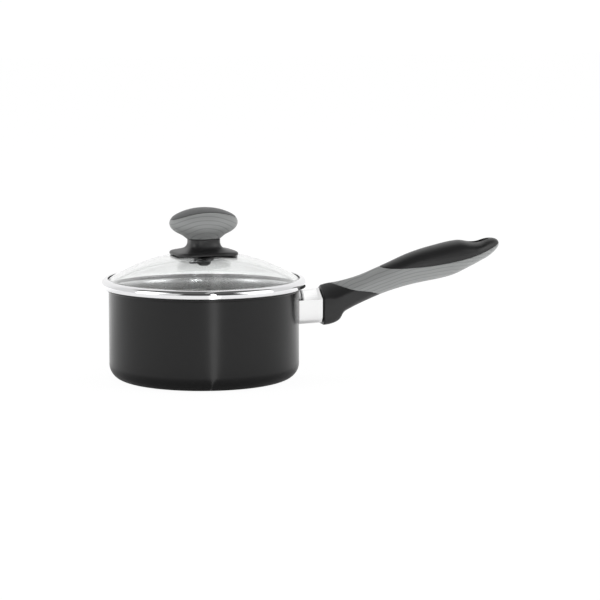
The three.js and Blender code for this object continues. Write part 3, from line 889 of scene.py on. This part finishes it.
# ---------------------------------------------------------------- carried-over nodes


def carried_over():
    """CAD nodes that stay: fasteners and seals, with finished materials."""
    looks = {
        "weld_stud": ALUMINIUM,
        "handle_flat_washer": ZINC, "handle_lock_washer": ZINC, "handle_screw": ZINC,
        "knob_insert": BRASS, "knob_screw": BLACK_STEEL, "knob_washer": BLACK_STEEL,
        "knob_seal_lower": SILICONE, "knob_seal_upper": SILICONE,
    }
    for name, material in looks.items():
        node = frame["nodes"][name]
        node.data.materials.clear()
        node.data.materials.append(material)
        node.data.shade_smooth()
        node.data.set_sharp_from_angle(angle=math.radians(30))


# ---------------------------------------------------------------- studio

FLOOR_SIZE = 6.0
FLOOR_GLOW = 0.45  # floor round the pan, as light
STREAK_GLOW = 2.4  # wedge of floor that the front of the pan's wall mirrors as a streak
STREAK_AZIMUTH = math.radians(14.4)
BACK_GLOW = 0.3  # floor behind the pan, added to the glow round it
BACK_WALL = 0.2  # wall behind the pan, added to the walls all round
SIDE_WALLS = 0.76
DIM = 0.06  # light from the dark camera side
ROOF = 0.07  # light from the roof, added to the dim level
VIEW_AZIMUTH = math.radians(13)  # the camera stands this far round from the -Y side
VIEW_PITCH = math.radians(8.02)
VIEW_DISTANCE = 2.0
VIEW_TARGET = Vector((0.0751, -0.0173, 0.0626))
FORWARD = Vector((math.sin(VIEW_AZIMUTH), math.cos(VIEW_AZIMUTH), 0))
RIGHT = Vector((math.cos(VIEW_AZIMUTH), -math.sin(VIEW_AZIMUTH), 0))


def camera():
    data = bpy.data.cameras.new("camera")
    data.sensor_width = 36
    data.lens = 149.46
    data.clip_end = 50
    made = bpy.data.objects.new("camera", data)
    look = FORWARD * math.cos(VIEW_PITCH) - Vector((0, 0, math.sin(VIEW_PITCH)))
    made.location = VIEW_TARGET - look * VIEW_DISTANCE
    made.rotation_euler = look.to_track_quat("-Z", "Y").to_euler()
    bpy.context.scene.collection.objects.link(made)
    bpy.context.scene.camera = made


LIGHTS_AIM = Vector((0.05, 0, 0.06))


def softbox(name, place, size, radiance, overhead=False):
    """A rectangular light of a stated brightness, aimed at the object or straight down."""
    data = bpy.data.lights.new(name, "AREA")
    data.shape = "RECTANGLE"
    data.size, data.size_y = size
    data.energy = radiance * math.pi * size[0] * size[1]
    made = bpy.data.objects.new(name, data)
    made.location = place
    if overhead:
        made.rotation_euler = (0, 0, -VIEW_AZIMUTH)
    else:
        made.rotation_euler = (LIGHTS_AIM - place).to_track_quat("-Z", "Y").to_euler()
    made.visible_camera = False
    bpy.context.scene.collection.objects.link(made)


def ahead_of(azimuth):
    """Level direction at an angle to the right of the camera, as seen from the object."""
    return RIGHT * math.sin(azimuth) - FORWARD * math.cos(azimuth)


def toward(azimuth, distance, height):
    """A place at an angle, in degrees, to the right of the camera as seen from the object."""
    return ahead_of(math.radians(azimuth)) * distance + Vector((0, 0, height))


def lights():
    softbox("left_softbox", toward(-64, 1.9, 1.0), (1.1, 2.0), 1.3)
    softbox("right_softbox", toward(68, 1.9, 1.0), (1.3, 2.0), 1.3)
    softbox("front_strip", toward(13, 2.2, 0.85), (0.18, 1.7), 6.0)
    softbox("roof_strip", RIGHT * 0.17 + FORWARD * 0.5 + Vector((0, 0, 2.2)), (0.16, 4.0), 0.4, True)


def world():
    """White seen directly. As light: white walls, brightest behind, a dark roof and a dark camera side."""
    made = bpy.data.worlds.new("studio")
    bpy.context.scene.world = made
    made.use_nodes = True
    tree = made.node_tree
    background = tree.nodes["Background"]
    direction = tree.nodes.new("ShaderNodeTexCoord").outputs["Generated"]

    def maths(operation, first, second=0.0):
        node = tree.nodes.new("ShaderNodeMath")
        node.operation = operation
        for socket, value in zip(node.inputs, (first, second)):
            if isinstance(value, bpy.types.NodeSocket):
                tree.links.new(value, socket)
            else:
                socket.default_value = value
        return node.outputs[0]

    def part(axis):
        node = tree.nodes.new("ShaderNodeVectorMath")
        node.operation = "DOT_PRODUCT"
        node.inputs[1].default_value = axis
        tree.links.new(direction, node.inputs[0])
        return node.outputs["Value"]

    def ramp(value, low, high):
        node = tree.nodes.new("ShaderNodeMapRange")
        node.interpolation_type = "SMOOTHSTEP"
        tree.links.new(value, node.inputs["Value"])
        node.inputs["From Min"].default_value = low
        node.inputs["From Max"].default_value = high
        return node.outputs[0]

    azimuth = maths("ARCTAN2", part(RIGHT), part(-FORWARD))
    centre, half_width = math.radians(10), math.radians(36)
    away = maths("ABSOLUTE", maths("SUBTRACT", azimuth, centre))
    aside = ramp(away, half_width - 0.07, half_width + 0.07)
    rise = part(Vector((0, 0, 1)))
    behind = part(FORWARD)
    raised = maths("MULTIPLY", ramp(behind, 0.2, 0.45), 0.27)
    roof = ramp(maths("SUBTRACT", rise, raised), 0.6, 0.75)
    front = maths("MULTIPLY", maths("SUBTRACT", 1.0, aside), ramp(rise, 0.12, 0.2))
    lit = maths("SUBTRACT", 1.0, maths("MAXIMUM", roof, front))
    back_wall = maths("MULTIPLY", ramp(behind, 0.35, 0.75), BACK_WALL)
    wall = maths("MULTIPLY", lit, maths("ADD", back_wall, SIDE_WALLS))
    shade = maths("ADD", wall, maths("ADD", maths("MULTIPLY", roof, ROOF), DIM))
    seen = tree.nodes.new("ShaderNodeLightPath").outputs["Is Camera Ray"]
    tree.links.new(maths("MAXIMUM", seen, shade), background.inputs["Strength"])
    background.inputs["Color"].default_value = (1, 1, 1, 1)


def floor():
    """White floor that the camera sees almost evenly white.

    As light it is paper that glows away from the pan, more so behind it. In front, a bright wedge that only
    reflections see makes the streak down the pan's wall: it stands for no lamp.
    """
    steps = 8
    ticks = np.linspace(-FLOOR_SIZE, FLOOR_SIZE, steps + 1)
    points = [(x / MM, y / MM, FLOOR_HEIGHT / MM) for y in ticks for x in ticks]
    stride = steps + 1
    faces = [[j * stride + i, j * stride + i + 1, (j + 1) * stride + i + 1, (j + 1) * stride + i]
             for j in range(steps) for i in range(steps)]
    nodes = Nodes("studio_floor")
    seen = nodes.add("ShaderNodeLightPath").outputs["Is Camera Ray"]
    paper = nodes.blend(nodes.noise(3, 2), (0.8, 0.8, 0.8), (0.83, 0.83, 0.83))
    # Painted shade: the glow is nil under the pan and rises to full over a ring out to 0.13 m. This is a
    # painted contact shadow that the pan's lower wall mirrors.
    glow = nodes.between(radial_distance(nodes), 0, FLOOR_GLOW, 0.08, 0.13)
    ahead = ahead_of(STREAK_AZIMUTH)
    aside = Vector((-ahead.y, ahead.x, 0))
    start = ahead_of(STREAK_AZIMUTH / 2) * PAN_RADIUS * MM  # where the wall mirrors that direction

    def reach(direction):
        node = nodes.add("ShaderNodeVectorMath", operation="DOT_PRODUCT")
        nodes.feed(node.inputs[0], nodes.place)
        node.inputs[1].default_value = direction
        return node.outputs["Value"]

    def from_start(direction):
        return nodes.maths("SUBTRACT", reach(direction), start.dot(direction))

    length = nodes.maths("MAXIMUM", from_start(ahead), 0.001)
    spread = nodes.maths("DIVIDE", nodes.maths("ABSOLUTE", from_start(aside)), length)
    streak = nodes.between(spread, STREAK_GLOW, 0, 0.03, 0.13)
    back_glow = nodes.between(reach(FORWARD), 0, BACK_GLOW, 0.12, 0.4)
    light = nodes.maths("ADD", nodes.maths("ADD", glow, streak), back_glow)
    strength = nodes.add("ShaderNodeMix", data_type="FLOAT")
    nodes.feed(strength.inputs[0], seen)
    nodes.feed(strength.inputs[2], light)
    nodes.feed(strength.inputs[3], 0.95)
    nodes.set(
        Base_Color=nodes.blend(seen, paper, (0.1, 0.1, 0.1)),
        Roughness=0.95,
        Specular_IOR_Level=0.0,
        Emission_Color=(1, 1, 1, 1),
        Emission_Strength=strength.outputs[0],
    )
    new_object("studio_floor", points, faces, [nodes.material])


def studio():
    camera()
    lights()
    world()
    floor()
    scene = bpy.context.scene
    scene.view_settings.view_transform = "Standard"
    scene.cycles.max_bounces = 16
    scene.cycles.transmission_bounces = 12
    scene.cycles.transparent_max_bounces = 8


pan()
handle()
ferrule()
lid_glass()
lid_band()
vent_eyelet()
knob()
knob_base()
carried_over()
studio()
